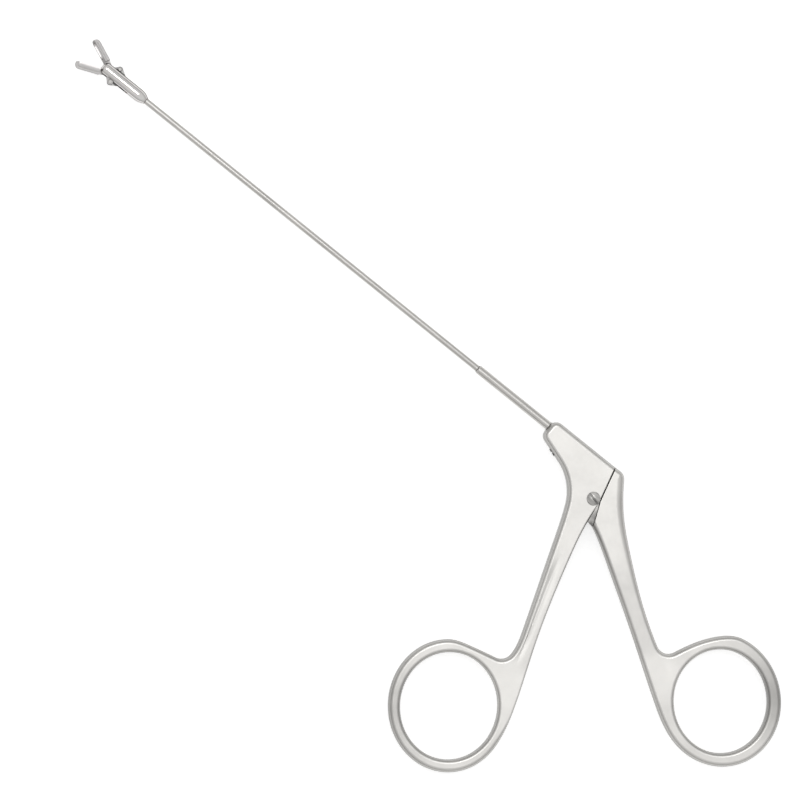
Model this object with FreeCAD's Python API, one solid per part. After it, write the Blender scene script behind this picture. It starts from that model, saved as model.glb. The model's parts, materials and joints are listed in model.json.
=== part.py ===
import FreeCAD, Part
import math
import os
from FreeCAD import Vector

os.makedirs("parts", exist_ok=True)

# All sizes are in mm and degrees. The instrument lies on its side: +Z comes out of the face that
# shows, +X runs along the shaft away from the jaws, +Y points away from the finger rings. The
# origin is on the axis of the pivot screw, in the plane that the instrument lies on. It is drawn
# at rest: handles spread, jaws open.

# Handles, as seen on the face
body_thickness = 5.6        # at the joint
ring_thickness = 4.6        # at the finger rings
front_taper = (-86.0, 14.0, 44.0)            # direction of the shank, start and end of its taper
rear_taper = (-18.8, 14.0, 40.0)
edge_bevel = 0.7            # the faces towards the other handle have none
hole_bevel = 0.6            # rims of the finger rings
stop_distance = 1.68        # from the pivot axis to the stop faces
seam_lean = 14.0            # stop face above the pivot, from the Y axis
cheek_lean = 8.7            # rear edge of the front handle below the pivot
shoulder_lean = 22.7        # shoulder of the rear handle below the pivot
stop_play = 0.05            # between the stop faces at rest
top_height = 9.2            # top edge above the pivot axis
nose_length = 19.1          # from the pivot axis to the front of the nose
nose_corner = 2.0
nose_belly = 3.6            # height of the nose's lower edge, where its corner ends
belly_lean = 18.0           # slope of the nose's lower edge
belly_length = 6.1
front_crook = (12.9, 48.0)                   # radius and turn from the nose to the shank
front_lead = [(-0.57, -14.7), (3.25, -25.4), (6.55, -34.75), (8.07, -41.3)]
front_armpit = (3.05, 77.6)                  # radius and turn from the shank to the ring
front_brow = (-0.85, -45.85)                 # on the straight run from there to the ring
front_cheek = [(16.65, -50.6), (10.85, -35.1), (4.75, -15.2)]
cheek_top = -5.4                             # height at which the cheek becomes the stop face
cheek_cut = 20.0                             # turn at the ring at which the cheek's cut starts
blank_side = 30.0                            # right side of the blank before that cut
rear_shoulder = -5.3                         # height at which the shoulder ends
rear_under = [(12.4, -9.95), (27.45, -19.3), (42.15, -28.75)]
rear_brow = [(44.45, -6.85), (41.35, -10.95), (38.54, -16.47)]
rear_saddle = (3.0, 95.0)
rear_back = [(25.05, -12.06), (15.18, -4.52), (8.05, 1.89), (3.1, 8.25)]
rear_corner = (2.3, 56.0)

front_reach = 60.5          # from the pivot axis to the front ring, across the shaft
front_ring_centre = Vector(4.0, -front_reach, 0)
front_ring_outer = (16.0, 14.45, 128.4)      # half length, half width, direction of the length
front_ring_span = (0.0, 231.5)               # stretch of the ellipse that the outline follows
front_hole_centre = front_ring_centre + Vector(0.14, 0.08, 0)
front_hole = (12.83, 11.7, 124.8)
rear_reach = 54.2           # from the pivot axis to the rear ring, along the shaft
rear_ring_centre = Vector(rear_reach, -18.52, 0)
rear_ring_outer = (16.25, 14.76, 143.7)
rear_ring_span = (118.0, 322.0)
rear_hole_centre = rear_ring_centre + Vector(0.41, -0.18, 0)
rear_hole = (12.43, 11.29, 132.8)

# Joint between the handles
slot_width = 2.2            # slot in the front handle that takes the tongue
tongue_play = 0.05          # on each side of the tongue
hub_radius = 3.3            # tongue round the pivot
hub_room = 0.4              # between the hub and the slot round it
hub_end = 235.0             # direction in which the round part of the tongue ends
slot_floor = [(-0.6, -6.0), (0.4, -7.0), (6.0, -7.0)]
slot_front = -10.8          # blind end of the slot, towards the nose
tongue_foot = [(4.6, -5.4), (1.2, -4.8)]
tongue_web = 0.9            # thin upper end of the tongue, inside the clevis
web_height = 5.0            # above the pivot, where the tongue gets thin
web_wall = 0.75             # beside the hook
web_corner = 0.7
web_root = 1.0              # end of the web inside the rear handle
hook_depth = 0.15           # past the centre of the drive pin
pivot_radius = 1.2
pivot_play = 0.03
screw_head_radius = 1.65
screw_head_rim = 0.25
screw_head_height = 0.6
crown_fullness = 0.75       # of the domed head, half way out
screw_slot = (0.5, 0.4, -15.0)               # width, depth, direction

# Shaft
lever_arm = 6.95            # shaft axis above the pivot axis
sleeve_radius = 1.05
sleeve_tip = -41.0          # outer end of the support sleeve
sleeve_bevel = 0.22
tube_radius = 0.775
tube_bore = 0.475
rod_radius = 0.4
set_screw_radius = 0.95
set_screw_place = 4.55 - nose_length
set_screw_stand = 0.2       # how far it stands proud of the nose
set_screw_slot = (0.4, 0.45)                 # width and depth

# Drive inside the handle
drive_lean = 12.2           # line from the pivot to the drive pin at rest, from the Y axis
drive_pin_radius = 0.6
drive_pin_play = 0.03
clevis_radius = 1.2
clevis_fork = 1.9           # from the drive pin to the root of the fork
clevis_length = 3.6         # from the drive pin to the end of the clevis

# Jaw end, drawn along the shaft axis with the jaw pin at zero, then rolled and moved into place
jaw_place = -154.25         # jaw pin along the shaft
tip_roll = 14.0             # the jaw plane is turned about the shaft, lower jaw towards the viewer
yoke_radius = 1.55
yoke_front = 2.2            # jaw pin to the front of the yoke
yoke_length = 13.2
yoke_corner = 1.2
yoke_taper = 2.2            # length of the nosed rear end
yoke_lip = 0.1              # wall left round the tube at that end
yoke_slot = 1.0
yoke_slot_end = 6.5         # jaw pin to the end of the slot
head_bore = 1.05            # bore that guides the crosshead
head_bore_start = 3.7
head_bore_end = 8.2
tube_socket = 2.4
layer = 0.44                # a jaw tail or a link is one layer of two in the slot
layer_gap = 0.03            # from the middle of the slot to each layer
jaw_pin_radius = 0.4
jaw_pin_play = 0.02
jaw_opening = 23.4          # each jaw, from closed to rest
tail_length = 2.54          # jaw pin to tail pin
tail_angle = 27.5           # tail from the shaft axis when the jaws are closed
link_length = 3.76
tail_pin_radius = 0.4
open_pivot_play = 0.06      # link eye round the tail pin
tail_eye = 0.72
hub_eye = 0.95
link_pin_radius = 0.35
link_pin_play = 0.02
link_eye = 0.62
head_radius = 1.0
head_fork = 1.5             # depth of the fork in the crosshead
head_front = 0.75           # link pin to the front of the crosshead
head_length = 2.65
rod_socket = 0.9

# Cups
cup_radius = 1.5
cup_start = 2.4             # jaw pin to the root of the cup
cup_end = 8.4
cup_nose = 1.0
cup_gap = 0.03              # rim to the middle plane when closed
cup_cavity = 1.12
cavity_start = 3.3
cavity_end = 8.0
arm_middle = 0.68           # height of the arm where it enters the cup
arm_lap = 0.5               # length of the arm inside the cup
arm_play = 0.1              # between the arm and the root of the other cup

mid = body_thickness / 2
beyond = 1.0                # how far a cutting shape runs past what it cuts


def heading(angle):
    return Vector(math.cos(math.radians(angle)), math.sin(math.radians(angle)), 0)


def flat_points(pairs):
    return [Vector(x, y, 0) for x, y in pairs]


# A point on the line that lies a distance from the pivot axis and leans from the Y axis.
def on_lean(distance, lean, y):
    return Vector((distance - y * math.sin(math.radians(lean))) / math.cos(math.radians(lean)), y, 0)


# The corner where two such lines meet.
def lean_corner(distance, lean_a, lean_b):
    middle = math.radians((lean_a + lean_b) / 2)
    reach = distance / math.cos(math.radians((lean_a - lean_b) / 2))
    return Vector(reach * math.cos(middle), reach * math.sin(middle), 0)


def ellipse(centre, shape):
    length, width, angle = shape
    return Part.Ellipse(centre + heading(angle) * length, centre + heading(angle + 90) * width, centre)


# An outline is drawn stretch by stretch. A stretch may have a bevel along its edges.
class Outline:
    def __init__(self, start):
        self.start = start
        self.at = start
        self.edges = []
        self.bevels = []

    def add(self, edge, end, bevel):
        self.edges.append(edge)
        self.bevels.append(bevel)
        self.at = end
        return self

    def line(self, end, bevel=None):
        return self.add(Part.LineSegment(self.at, end).toShape(), end, bevel)

    def bend(self, radius, start_heading, turn, bevel=None):
        side = 90 if turn > 0 else -90
        centre = self.at + heading(start_heading + side) * radius
        middle = centre + heading(start_heading - side + turn / 2) * radius
        end = centre + heading(start_heading - side + turn) * radius
        return self.add(Part.Arc(self.at, middle, end).toShape(), end, bevel)

    def arc(self, middle, end, bevel=None):
        return self.add(Part.Arc(self.at, middle, end).toShape(), end, bevel)

    def curve(self, points, start_tangent, end_tangent, bevel=None):
        spline = Part.BSplineCurve()
        spline.interpolate(Points=[self.at] + points, InitialTangent=start_tangent,
                           FinalTangent=end_tangent)
        return self.add(spline.toShape(), points[-1], bevel)

    def ellipse_arc(self, whole, start, end, bevel=None):
        part = Part.ArcOfEllipse(whole, math.radians(start), math.radians(end))
        return self.add(part.toShape(), part.EndPoint, bevel)

    def close(self, bevel=None):
        return self.line(self.start, bevel)

    def face(self):
        return Part.Face(Part.Wire(self.edges))

    def solid(self, low, high):
        plate = self.face().extrude(Vector(0, 0, high - low))
        plate.translate(Vector(0, 0, low))
        return plate


# Bevels the edges along a plate's outline by what the outline gives.
def bevel_plate(plate, outline):
    wanted = []
    for number, edge in enumerate(plate.Edges, start=1):
        if max(edge.BoundBox.XLength, edge.BoundBox.YLength) < 0.01:
            continue
        middle = edge.valueAt((edge.FirstParameter + edge.LastParameter) / 2)
        flat = Part.Vertex(Vector(middle.x, middle.y, 0))
        gaps = [flat.distToShape(stretch)[0] for stretch in outline.edges]
        bevel = outline.bevels[gaps.index(min(gaps))]
        if bevel and min(gaps) < 0.01:
            wanted.append((number, bevel, bevel))
    document = FreeCAD.newDocument("bevels")
    base = document.addObject("Part::Feature", "base")
    base.Shape = plate
    chamfer = document.addObject("Part::Chamfer", "chamfer")
    chamfer.Base = base
    chamfer.Edges = wanted
    document.recompute()
    result = chamfer.Shape.copy()
    FreeCAD.closeDocument("bevels")
    return result


def cylinder(radius, start, end):
    return Part.makeCylinder(radius, (end - start).Length, start, end - start)


def box(low, high):
    size = high - low
    return Part.makeBox(size.x, size.y, size.z, low)


# A flat bar with round ends, from one eye to the other.
def bar(start, start_radius, end, end_radius, low, high):
    along = math.degrees(math.atan2(end.y - start.y, end.x - start.x))
    lean = math.degrees(math.acos((start_radius - end_radius) / (end - start).Length))
    left, right = heading(along + lean), heading(along - lean)
    outline = Outline(start + right * start_radius)
    outline.line(end + right * end_radius)
    outline.arc(end + heading(along) * end_radius, end + left * end_radius)
    outline.line(start + left * start_radius)
    outline.arc(start - heading(along) * start_radius, outline.start)
    return outline.solid(low, high)


# The front handle's blank. Its cheek and its stop faces are cut after its edges are bevelled, so
# that they stay sharp.
def front_outline():
    ring = ellipse(front_ring_centre, front_ring_outer)
    ring_start, ring_end = [math.radians(end) for end in front_ring_span]
    outline = Outline(Vector(blank_side, top_height, 0))
    outline.line(Vector(nose_corner - nose_length, top_height, 0), edge_bevel)
    outline.bend(nose_corner, 180, 90, edge_bevel)
    corner_drop = nose_corner * math.cos(math.radians(belly_lean))
    outline.line(Vector(-nose_length, nose_belly + corner_drop, 0), edge_bevel)
    outline.bend(nose_corner, 270, 90 - belly_lean, edge_bevel)
    outline.line(outline.at + heading(-belly_lean) * belly_length, edge_bevel)
    outline.bend(front_crook[0], -belly_lean, -front_crook[1], edge_bevel)
    outline.curve(flat_points(front_lead), heading(-belly_lean - front_crook[1]), heading(-90), edge_bevel)
    outline.bend(front_armpit[0], -90, -front_armpit[1], edge_bevel)
    outline.curve(flat_points([front_brow]) + [ring.value(ring_start)],
                  heading(-90 - front_armpit[1]), ring.tangent(ring_start)[0], edge_bevel)
    outline.ellipse_arc(ring, *front_ring_span, edge_bevel)
    way = ring.tangent(ring_end)[0]
    leave = heading(math.degrees(math.atan2(way.y, way.x)) - cheek_cut)
    outline.line(outline.at + leave * ((blank_side - outline.at.x) / leave.x), edge_bevel)
    outline.close()
    return outline


# What is cut off that blank, from the ring up past the top edge.
def cheek_side():
    ring = ellipse(front_ring_centre, front_ring_outer)
    ring_end = math.radians(front_ring_span[1])
    outline = Outline(ring.value(ring_end))
    outline.curve(flat_points(front_cheek) + [on_lean(stop_distance, cheek_lean, cheek_top)],
                  ring.tangent(ring_end)[0], heading(90 + cheek_lean))
    outline.line(lean_corner(stop_distance, seam_lean, cheek_lean))
    outline.line(on_lean(stop_distance, seam_lean, top_height + beyond))
    outline.line(Vector(blank_side + beyond, top_height + beyond, 0))
    outline.line(Vector(blank_side + beyond, outline.start.y, 0))
    outline.close()
    return outline.solid(-beyond, body_thickness + beyond)


def rear_outline():
    ring = ellipse(rear_ring_centre, rear_ring_outer)
    ring_start, ring_end = [math.radians(end) for end in rear_ring_span]
    distance = stop_distance + stop_play
    saddle_heading = -114
    corner_heading = 180 - rear_corner[1]
    outline = Outline(on_lean(distance, seam_lean, top_height))
    outline.line(lean_corner(distance, seam_lean, shoulder_lean))
    outline.line(on_lean(distance, shoulder_lean, rear_shoulder))
    outline.curve(flat_points(rear_under) + [ring.value(ring_start)],
                  heading(-24), ring.tangent(ring_start)[0], edge_bevel)
    outline.ellipse_arc(ring, *rear_ring_span, edge_bevel)
    outline.curve(flat_points(rear_brow), ring.tangent(ring_end)[0], heading(saddle_heading), edge_bevel)
    outline.bend(rear_saddle[0], saddle_heading, -rear_saddle[1], edge_bevel)
    outline.curve(flat_points(rear_back), heading(saddle_heading - rear_saddle[1]),
                  heading(corner_heading), edge_bevel)
    outline.bend(rear_corner[0], corner_heading, rear_corner[1], edge_bevel)
    outline.close(edge_bevel)
    return outline


def ring_hole(centre, shape):
    outline = Outline(centre)
    return outline.add(ellipse(centre, shape).toShape(), centre, hole_bevel)


# The space between two gently waisted faces, thick at the joint and thinner at the ring.
def tapered_space(direction, taper_start, taper_end):
    along = heading(direction)
    across = heading(direction + 90)
    reach = 120
    faces = []
    for side in (-1, 1):
        thick = Vector(0, 0, mid + side * body_thickness / 2)
        thin = Vector(0, 0, mid + side * ring_thickness / 2)
        wave = Part.BSplineCurve()
        wave.interpolate(Points=[along * taper_start + thick, along * taper_end + thin],
                         InitialTangent=along, FinalTangent=along)
        faces.append([Part.LineSegment(thick - along * reach, along * taper_start + thick).toShape(),
                      wave.toShape(),
                      Part.LineSegment(along * taper_end + thin, along * reach + thin).toShape()])
    lower, upper = faces
    ends = [Part.LineSegment(lower[0].Vertexes[0].Point, upper[0].Vertexes[0].Point).toShape(),
            Part.LineSegment(lower[2].Vertexes[1].Point, upper[2].Vertexes[1].Point).toShape()]
    profile = Part.Wire(Part.__sortEdges__(lower + upper + ends))
    profile.translate(across * -reach)
    return Part.Face(profile).extrude(across * (2 * reach))


def handle_plate(outline, hole, taper):
    plate = outline.solid(0, body_thickness).cut(hole.solid(0, body_thickness))
    plate = plate.common(tapered_space(*taper)).Solids[0]
    both = Outline(outline.start)
    both.edges = outline.edges + hole.edges
    both.bevels = outline.bevels + hole.bevels
    return bevel_plate(plate, both).Solids[0]


# Drive: the pin sits on the shaft axis, and the tongue of the rear handle hooks round it.
drive_pin_x = -lever_arm * math.tan(math.radians(drive_lean))


# Distance from the jaw pin back to the link pin when the tails stand at an angle.
def link_reach(angle):
    side = tail_length * math.sin(math.radians(angle))
    return tail_length * math.cos(math.radians(angle)) + math.sqrt(link_length ** 2 - side ** 2)


def link_lean(angle):
    return math.degrees(math.asin(tail_length * math.sin(math.radians(angle)) / link_length))


open_angle = tail_angle + jaw_opening
rod_travel = link_reach(tail_angle) - link_reach(open_angle)
# The true travel is slightly curved. The straight one runs through its middle, so that the play
# in the tail eyes takes up as much at the ends as half way.
reach_bow = link_reach(tail_angle + jaw_opening / 2) - link_reach(open_angle) - rod_travel / 2
rest_reach = link_reach(open_angle) + reach_bow / 2
rest_link_lean = link_lean(open_angle)
link_swing = rest_link_lean - link_lean(tail_angle)
handle_swing = drive_lean - math.degrees(
    math.atan(math.tan(math.radians(drive_lean)) - rod_travel / lever_arm))


# Jaw end pieces are drawn about the jaw pin and put in place here.
def at_tip(shape):
    placed = shape.copy()
    placed.rotate(Vector(0, 0, 0), Vector(1, 0, 0), -tip_roll)
    placed.translate(Vector(jaw_place, lever_arm, mid))
    return placed


def half_turn(shape):
    turned = shape.copy()
    turned.rotate(Vector(0, 0, 0), Vector(1, 0, 0), 180)
    return turned


def shaft_cylinder(radius, start_x, end_x):
    return cylinder(radius, Vector(start_x, lever_arm, mid), Vector(end_x, lever_arm, mid))


def slot_space():
    room = hub_radius + hub_room
    roof = web_height + hub_room
    floor = flat_points(slot_floor)
    outline = Outline(Vector(slot_front, top_height + beyond, 0))
    outline.line(Vector(slot_front, roof, 0))
    outline.line(Vector(-room, roof, 0))
    outline.line(Vector(-room, 0, 0))
    outline.arc(heading((180 + hub_end) / 2) * room, heading(hub_end) * room)
    for corner in floor:
        outline.line(corner)
    outline.line(Vector(floor[-1].x, top_height + beyond, 0))
    outline.close()
    return outline.solid(mid - slot_width / 2, mid + slot_width / 2)


def belly_height(x):
    corner_x = nose_corner - nose_length - nose_corner * math.sin(math.radians(belly_lean))
    return nose_belly - (x - corner_x) * math.tan(math.radians(belly_lean))


def pivot_hole(radius):
    return cylinder(radius, Vector(0, 0, -beyond), Vector(0, 0, body_thickness + beyond))


def front_handle():
    handle = handle_plate(front_outline(), ring_hole(front_hole_centre, front_hole), front_taper)
    handle = handle.cut(cheek_side())
    screw_low = belly_height(set_screw_place) - 2 * beyond
    screw_hole = cylinder(set_screw_radius, Vector(set_screw_place, screw_low, mid),
                          Vector(set_screw_place, lever_arm, mid))
    shaft_hole = shaft_cylinder(sleeve_radius, -nose_length - beyond, slot_front + beyond)
    return handle.cut([slot_space(), shaft_hole, pivot_hole(pivot_radius), screw_hole])


def tongue_outline():
    web_side = drive_pin_radius + drive_pin_play + web_wall
    web_top = lever_arm + clevis_radius
    heel, toe = flat_points(tongue_foot)
    outline = Outline(heel)
    outline.line(toe)
    outline.line(heading(hub_end) * hub_radius)
    outline.arc(heading((180 + hub_end) / 2) * hub_radius, heading(180) * hub_radius)
    outline.line(Vector(drive_pin_x - web_side, web_top - web_corner, 0))
    outline.bend(web_corner, 90, -90)
    outline.line(Vector(web_root, web_top, 0))
    outline.close()
    return outline


# Everything beside the thin upper end of the tongue, on one side of it.
def beside_web(low, high):
    outline = Outline(Vector(slot_front, web_height, 0))
    outline.line(on_lean(stop_distance, seam_lean, web_height))
    outline.line(on_lean(stop_distance, seam_lean, top_height))
    outline.line(Vector(slot_front, top_height, 0))
    outline.close()
    return outline.solid(low, high)


# The hook opens away from the pivot, and the pin slides a little along it.
def hook_space():
    half = drive_pin_radius + drive_pin_play
    floor = lever_arm - hook_depth
    mouth = top_height + beyond
    outline = Outline(Vector(floor, -half, 0))
    outline.line(Vector(mouth, -half, 0))
    outline.line(Vector(mouth, half, 0))
    outline.line(Vector(floor, half, 0))
    outline.arc(Vector(floor - half, 0, 0), outline.start)
    hook = outline.solid(mid - tongue_web, mid + tongue_web)
    hook.rotate(Vector(0, 0, 0), Vector(0, 0, 1), 90 + drive_lean)
    return hook


def rear_handle():
    handle = handle_plate(rear_outline(), ring_hole(rear_hole_centre, rear_hole), rear_taper)
    half = slot_width / 2 - tongue_play
    tongue = tongue_outline().solid(mid - half, mid + half)
    tongue = tongue.cut([beside_web(mid - half - beyond, mid - tongue_web / 2),
                         beside_web(mid + tongue_web / 2, mid + half + beyond)])
    handle = handle.fuse(tongue).removeSplitter()
    return handle.cut([hook_space(), pivot_hole(pivot_radius + pivot_play)])


def pivot_screw():
    rim = body_thickness + screw_head_rim
    top = body_thickness + screw_head_height
    profile = Outline(Vector(0, 0, 0))
    for radius, height in ((pivot_radius, 0), (pivot_radius, body_thickness),
                           (screw_head_radius, body_thickness), (screw_head_radius, rim)):
        profile.line(Vector(radius, 0, height))
    crown = Vector(screw_head_radius / 2, 0, rim + crown_fullness * (top - rim))
    profile.arc(crown, Vector(0, 0, top))
    profile.close()
    screw = profile.face().revolve(Vector(0, 0, 0), Vector(0, 0, 1), 360)
    width, depth, direction = screw_slot
    groove = box(Vector(-screw_head_radius - beyond, -width / 2, top - depth),
                 Vector(screw_head_radius + beyond, width / 2, top + beyond))
    groove.rotate(Vector(0, 0, 0), Vector(0, 0, 1), direction)
    return screw.cut(groove)


# The end of the grub screw is dressed to the slope of the nose.
def set_screw():
    outer = belly_height(set_screw_place)
    reach = 3 * set_screw_radius
    screw = cylinder(set_screw_radius, Vector(set_screw_place, outer - set_screw_radius, mid),
                     Vector(set_screw_place, lever_arm - sleeve_radius, mid))
    below = box(Vector(-reach, -reach, -reach), Vector(reach, 0, reach))
    width, depth = set_screw_slot
    groove = box(Vector(-width / 2, -reach, -reach), Vector(width / 2, depth, reach))
    for tool in (below, groove):
        tool.rotate(Vector(0, 0, 0), Vector(0, 0, 1), -belly_lean)
        tool.translate(Vector(set_screw_place, outer - set_screw_stand, mid))
    return screw.cut([below, groove])


def support_sleeve():
    sleeve = shaft_cylinder(sleeve_radius, sleeve_tip, slot_front)
    rim = [edge for edge in sleeve.Edges if abs(edge.BoundBox.Center.x - sleeve_tip) < 0.01]
    sleeve = sleeve.makeChamfer(sleeve_bevel, rim)
    return sleeve.cut(shaft_cylinder(tube_radius, sleeve_tip - beyond, slot_front + beyond))


def tube_start():
    return jaw_place + yoke_length - yoke_front - tube_socket


def shaft_tube():
    tube = shaft_cylinder(tube_radius, tube_start(), slot_front)
    return tube.cut(shaft_cylinder(tube_bore, tube_start() - beyond, slot_front + beyond))


def rod_clevis():
    half = slot_width / 2 - tongue_play
    back = drive_pin_x - clevis_length
    outline = Outline(Vector(drive_pin_x, lever_arm + clevis_radius, 0))
    outline.line(Vector(back, lever_arm + clevis_radius, 0))
    outline.line(Vector(back, lever_arm - clevis_radius, 0))
    outline.line(Vector(drive_pin_x, lever_arm - clevis_radius, 0))
    outline.arc(Vector(drive_pin_x + clevis_radius, lever_arm, 0), outline.start)
    clevis = outline.solid(mid - half, mid + half)
    fork_half = tongue_web / 2 + tongue_play
    fork = box(Vector(drive_pin_x - clevis_fork, 0, mid - fork_half),
               Vector(clevis_radius, 2 * lever_arm, mid + fork_half))
    pin_hole = cylinder(drive_pin_radius, Vector(drive_pin_x, lever_arm, 0),
                        Vector(drive_pin_x, lever_arm, body_thickness))
    return clevis.cut([fork, pin_hole, shaft_cylinder(rod_radius, back - beyond, drive_pin_x)])


def drive_pin():
    half = slot_width / 2 - tongue_play
    return cylinder(drive_pin_radius, Vector(drive_pin_x, lever_arm, mid - half),
                    Vector(drive_pin_x, lever_arm, mid + half))


def crosshead_back():
    return rest_reach + head_length - head_front


def drive_rod():
    start = jaw_place + crosshead_back() - rod_socket
    return shaft_cylinder(rod_radius, start, drive_pin_x - clevis_fork)


def across(radius, x, length):
    return cylinder(radius, Vector(x, 0, -length / 2), Vector(x, 0, length / 2))


def yoke_outline():
    front, back = -yoke_front, yoke_length - yoke_front
    nose_radius = tube_radius + yoke_lip
    outline = Outline(Vector(front, 0, 0))
    outline.line(Vector(front, yoke_corner - yoke_radius, 0))
    outline.bend(yoke_corner, -90, 90)
    outline.line(Vector(back - yoke_taper, -yoke_radius, 0))
    turn = 2 * math.degrees(math.atan((yoke_radius - nose_radius) / yoke_taper))
    outline.bend(yoke_taper / math.sin(math.radians(turn)), 0, turn)
    outline.line(Vector(back, 0, 0))
    outline.close()
    return outline


def jaw_yoke():
    barrel = yoke_outline().face().revolve(Vector(0, 0, 0), Vector(1, 0, 0), 360)
    room = yoke_radius + beyond
    slot = box(Vector(-yoke_front - beyond, -room, -yoke_slot / 2),
               Vector(yoke_slot_end, room, yoke_slot / 2))
    end = yoke_length - yoke_front
    along = Vector(1, 0, 0)
    bore = cylinder(head_bore, along * head_bore_start, along * head_bore_end)
    passage = cylinder(tube_bore, along * head_bore_end, along * end)
    socket = cylinder(tube_radius, along * (end - tube_socket), along * (end + beyond))
    hole = across(jaw_pin_radius, 0, 2 * room)
    return at_tip(barrel.cut([slot, bore, passage, socket, hole]))


def jaw_pin():
    pin = across(jaw_pin_radius, 0, 2 * yoke_radius + beyond)
    skin = cylinder(yoke_radius, Vector(-beyond, 0, 0), Vector(beyond, 0, 0))
    return at_tip(pin.common(skin))


def rod_crosshead():
    front, back = rest_reach - head_front, crosshead_back()
    along = Vector(1, 0, 0)
    room = head_radius + beyond
    head = cylinder(head_radius, along * front, along * back)
    fork = box(Vector(front - beyond, -room, -yoke_slot / 2),
               Vector(front + head_fork, room, yoke_slot / 2))
    socket = cylinder(rod_radius, along * (back - rod_socket), along * (back + beyond))
    return at_tip(head.cut([fork, socket, across(link_pin_radius, rest_reach, 2 * room)]))


def link_pin():
    pin = across(link_pin_radius, rest_reach, 2 * head_radius + beyond)
    skin = cylinder(head_radius, Vector(rest_reach - beyond, 0, 0), Vector(rest_reach + beyond, 0, 0))
    return at_tip(pin.common(skin))


def cup():
    along = Vector(1, 0, 0)
    body = cylinder(cup_radius, along * -cup_end, along * -cup_start)
    rim = [edge for edge in body.Edges
           if edge.BoundBox.XLength < 0.01 and abs(edge.BoundBox.Center.x + cup_end) < 0.01]
    body = body.makeFillet(cup_nose, rim)
    room = cup_radius + beyond
    body = body.common(box(Vector(-cup_end - beyond, cup_gap, -room), Vector(0, room, room)))
    ends = [along * -(cavity_end - cup_cavity), along * -(cavity_start + cup_cavity)]
    cavity = cylinder(cup_cavity, ends[0], ends[1])
    return body.cut([cavity, Part.makeSphere(cup_cavity, ends[0]), Part.makeSphere(cup_cavity, ends[1])])


# The upper jaw, closed. Its tail crosses below the shaft axis.
def closed_jaw():
    low, high = layer_gap, layer_gap + layer
    pivot = Vector(0, 0, 0)
    tail = heading(-tail_angle) * tail_length
    root = Vector(-cup_start - arm_lap, arm_middle, 0)
    arm = bar(pivot, hub_eye, root, arm_middle - cup_gap, low, high)
    arm = arm.cut(box(Vector(-cup_end, -hub_eye, 0), Vector(arm_play - cup_start, cup_gap, high)))
    tail_bar = bar(pivot, hub_eye, tail, tail_eye, low, high)
    jaw = cup().fuse([arm, tail_bar]).removeSplitter()
    tail_hole = across(tail_pin_radius, 0, 2 * high)
    tail_hole.translate(tail)
    return jaw.cut([across(jaw_pin_radius + jaw_pin_play, 0, 2 * high), tail_hole])


def opened(shape):
    turned = shape.copy()
    turned.rotate(Vector(0, 0, 0), Vector(0, 0, 1), -jaw_opening)
    return turned


def tail_pin():
    pin = across(tail_pin_radius, 0, 2 * (layer + layer_gap))
    pin.translate(heading(-tail_angle) * tail_length)
    return pin


# The upper link, at rest. It joins the tail of the lower jaw to the crosshead.
def rest_link():
    near = Vector(rest_reach, 0, 0)
    far = near + heading(180 - rest_link_lean) * link_length
    high = layer_gap + layer
    link = bar(near, link_eye, far, tail_eye, layer_gap, high)
    far_hole = across(tail_pin_radius + open_pivot_play, 0, 2 * high)
    far_hole.translate(far)
    return link.cut([across(link_pin_radius + link_pin_play, rest_reach, 2 * high), far_hole])


pieces = {
    "front_handle": front_handle(),
    "rear_handle": rear_handle(),
    "pivot_screw": pivot_screw(),
    "set_screw": set_screw(),
    "support_sleeve": support_sleeve(),
    "shaft_tube": shaft_tube(),
    "jaw_yoke": jaw_yoke(),
    "jaw_pin": jaw_pin(),
    "drive_rod": drive_rod(),
    "rod_clevis": rod_clevis(),
    "drive_pin": drive_pin(),
    "rod_crosshead": rod_crosshead(),
    "link_pin": link_pin(),
    "upper_jaw": at_tip(opened(closed_jaw())),
    "upper_jaw_tail_pin": at_tip(opened(tail_pin())),
    "lower_jaw": at_tip(half_turn(opened(closed_jaw()))),
    "lower_jaw_tail_pin": at_tip(half_turn(opened(tail_pin()))),
    "upper_link": at_tip(rest_link()),
    "lower_link": at_tip(half_turn(rest_link())),
}

for name, shape in pieces.items():
    solid, = shape.Solids
    solid.exportStep("parts/" + name + ".step")
    print(name, solid.isValid(), round(solid.Volume, 3))

print("handle swing", round(handle_swing, 3), "rod travel", round(rod_travel, 4),
      "link swing", round(link_swing, 3), "bow", round(reach_bow, 4))
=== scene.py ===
import json
import math

import bmesh
import bpy
import numpy as np
from mathutils import Matrix, Vector
from mathutils.geometry import delaunay_2d_cdt


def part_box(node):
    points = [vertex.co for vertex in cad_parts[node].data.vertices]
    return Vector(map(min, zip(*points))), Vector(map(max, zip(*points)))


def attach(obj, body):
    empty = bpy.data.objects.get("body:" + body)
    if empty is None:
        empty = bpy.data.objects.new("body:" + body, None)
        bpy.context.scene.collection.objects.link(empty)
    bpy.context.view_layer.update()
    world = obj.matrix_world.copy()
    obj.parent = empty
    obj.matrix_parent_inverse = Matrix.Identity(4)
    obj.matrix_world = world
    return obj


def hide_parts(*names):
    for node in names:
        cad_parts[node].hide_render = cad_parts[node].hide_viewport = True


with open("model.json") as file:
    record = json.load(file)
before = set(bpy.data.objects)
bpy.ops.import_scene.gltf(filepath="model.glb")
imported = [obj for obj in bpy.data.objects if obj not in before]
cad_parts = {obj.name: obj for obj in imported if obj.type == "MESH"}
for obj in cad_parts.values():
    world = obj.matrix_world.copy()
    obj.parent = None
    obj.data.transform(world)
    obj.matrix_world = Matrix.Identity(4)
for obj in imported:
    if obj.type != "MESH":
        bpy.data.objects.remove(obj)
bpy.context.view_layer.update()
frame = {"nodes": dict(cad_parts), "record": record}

nodes = frame["nodes"]
mm = 0.001
print("frame loaded:", len(nodes), "pieces")


# Camera, floor and light

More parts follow.
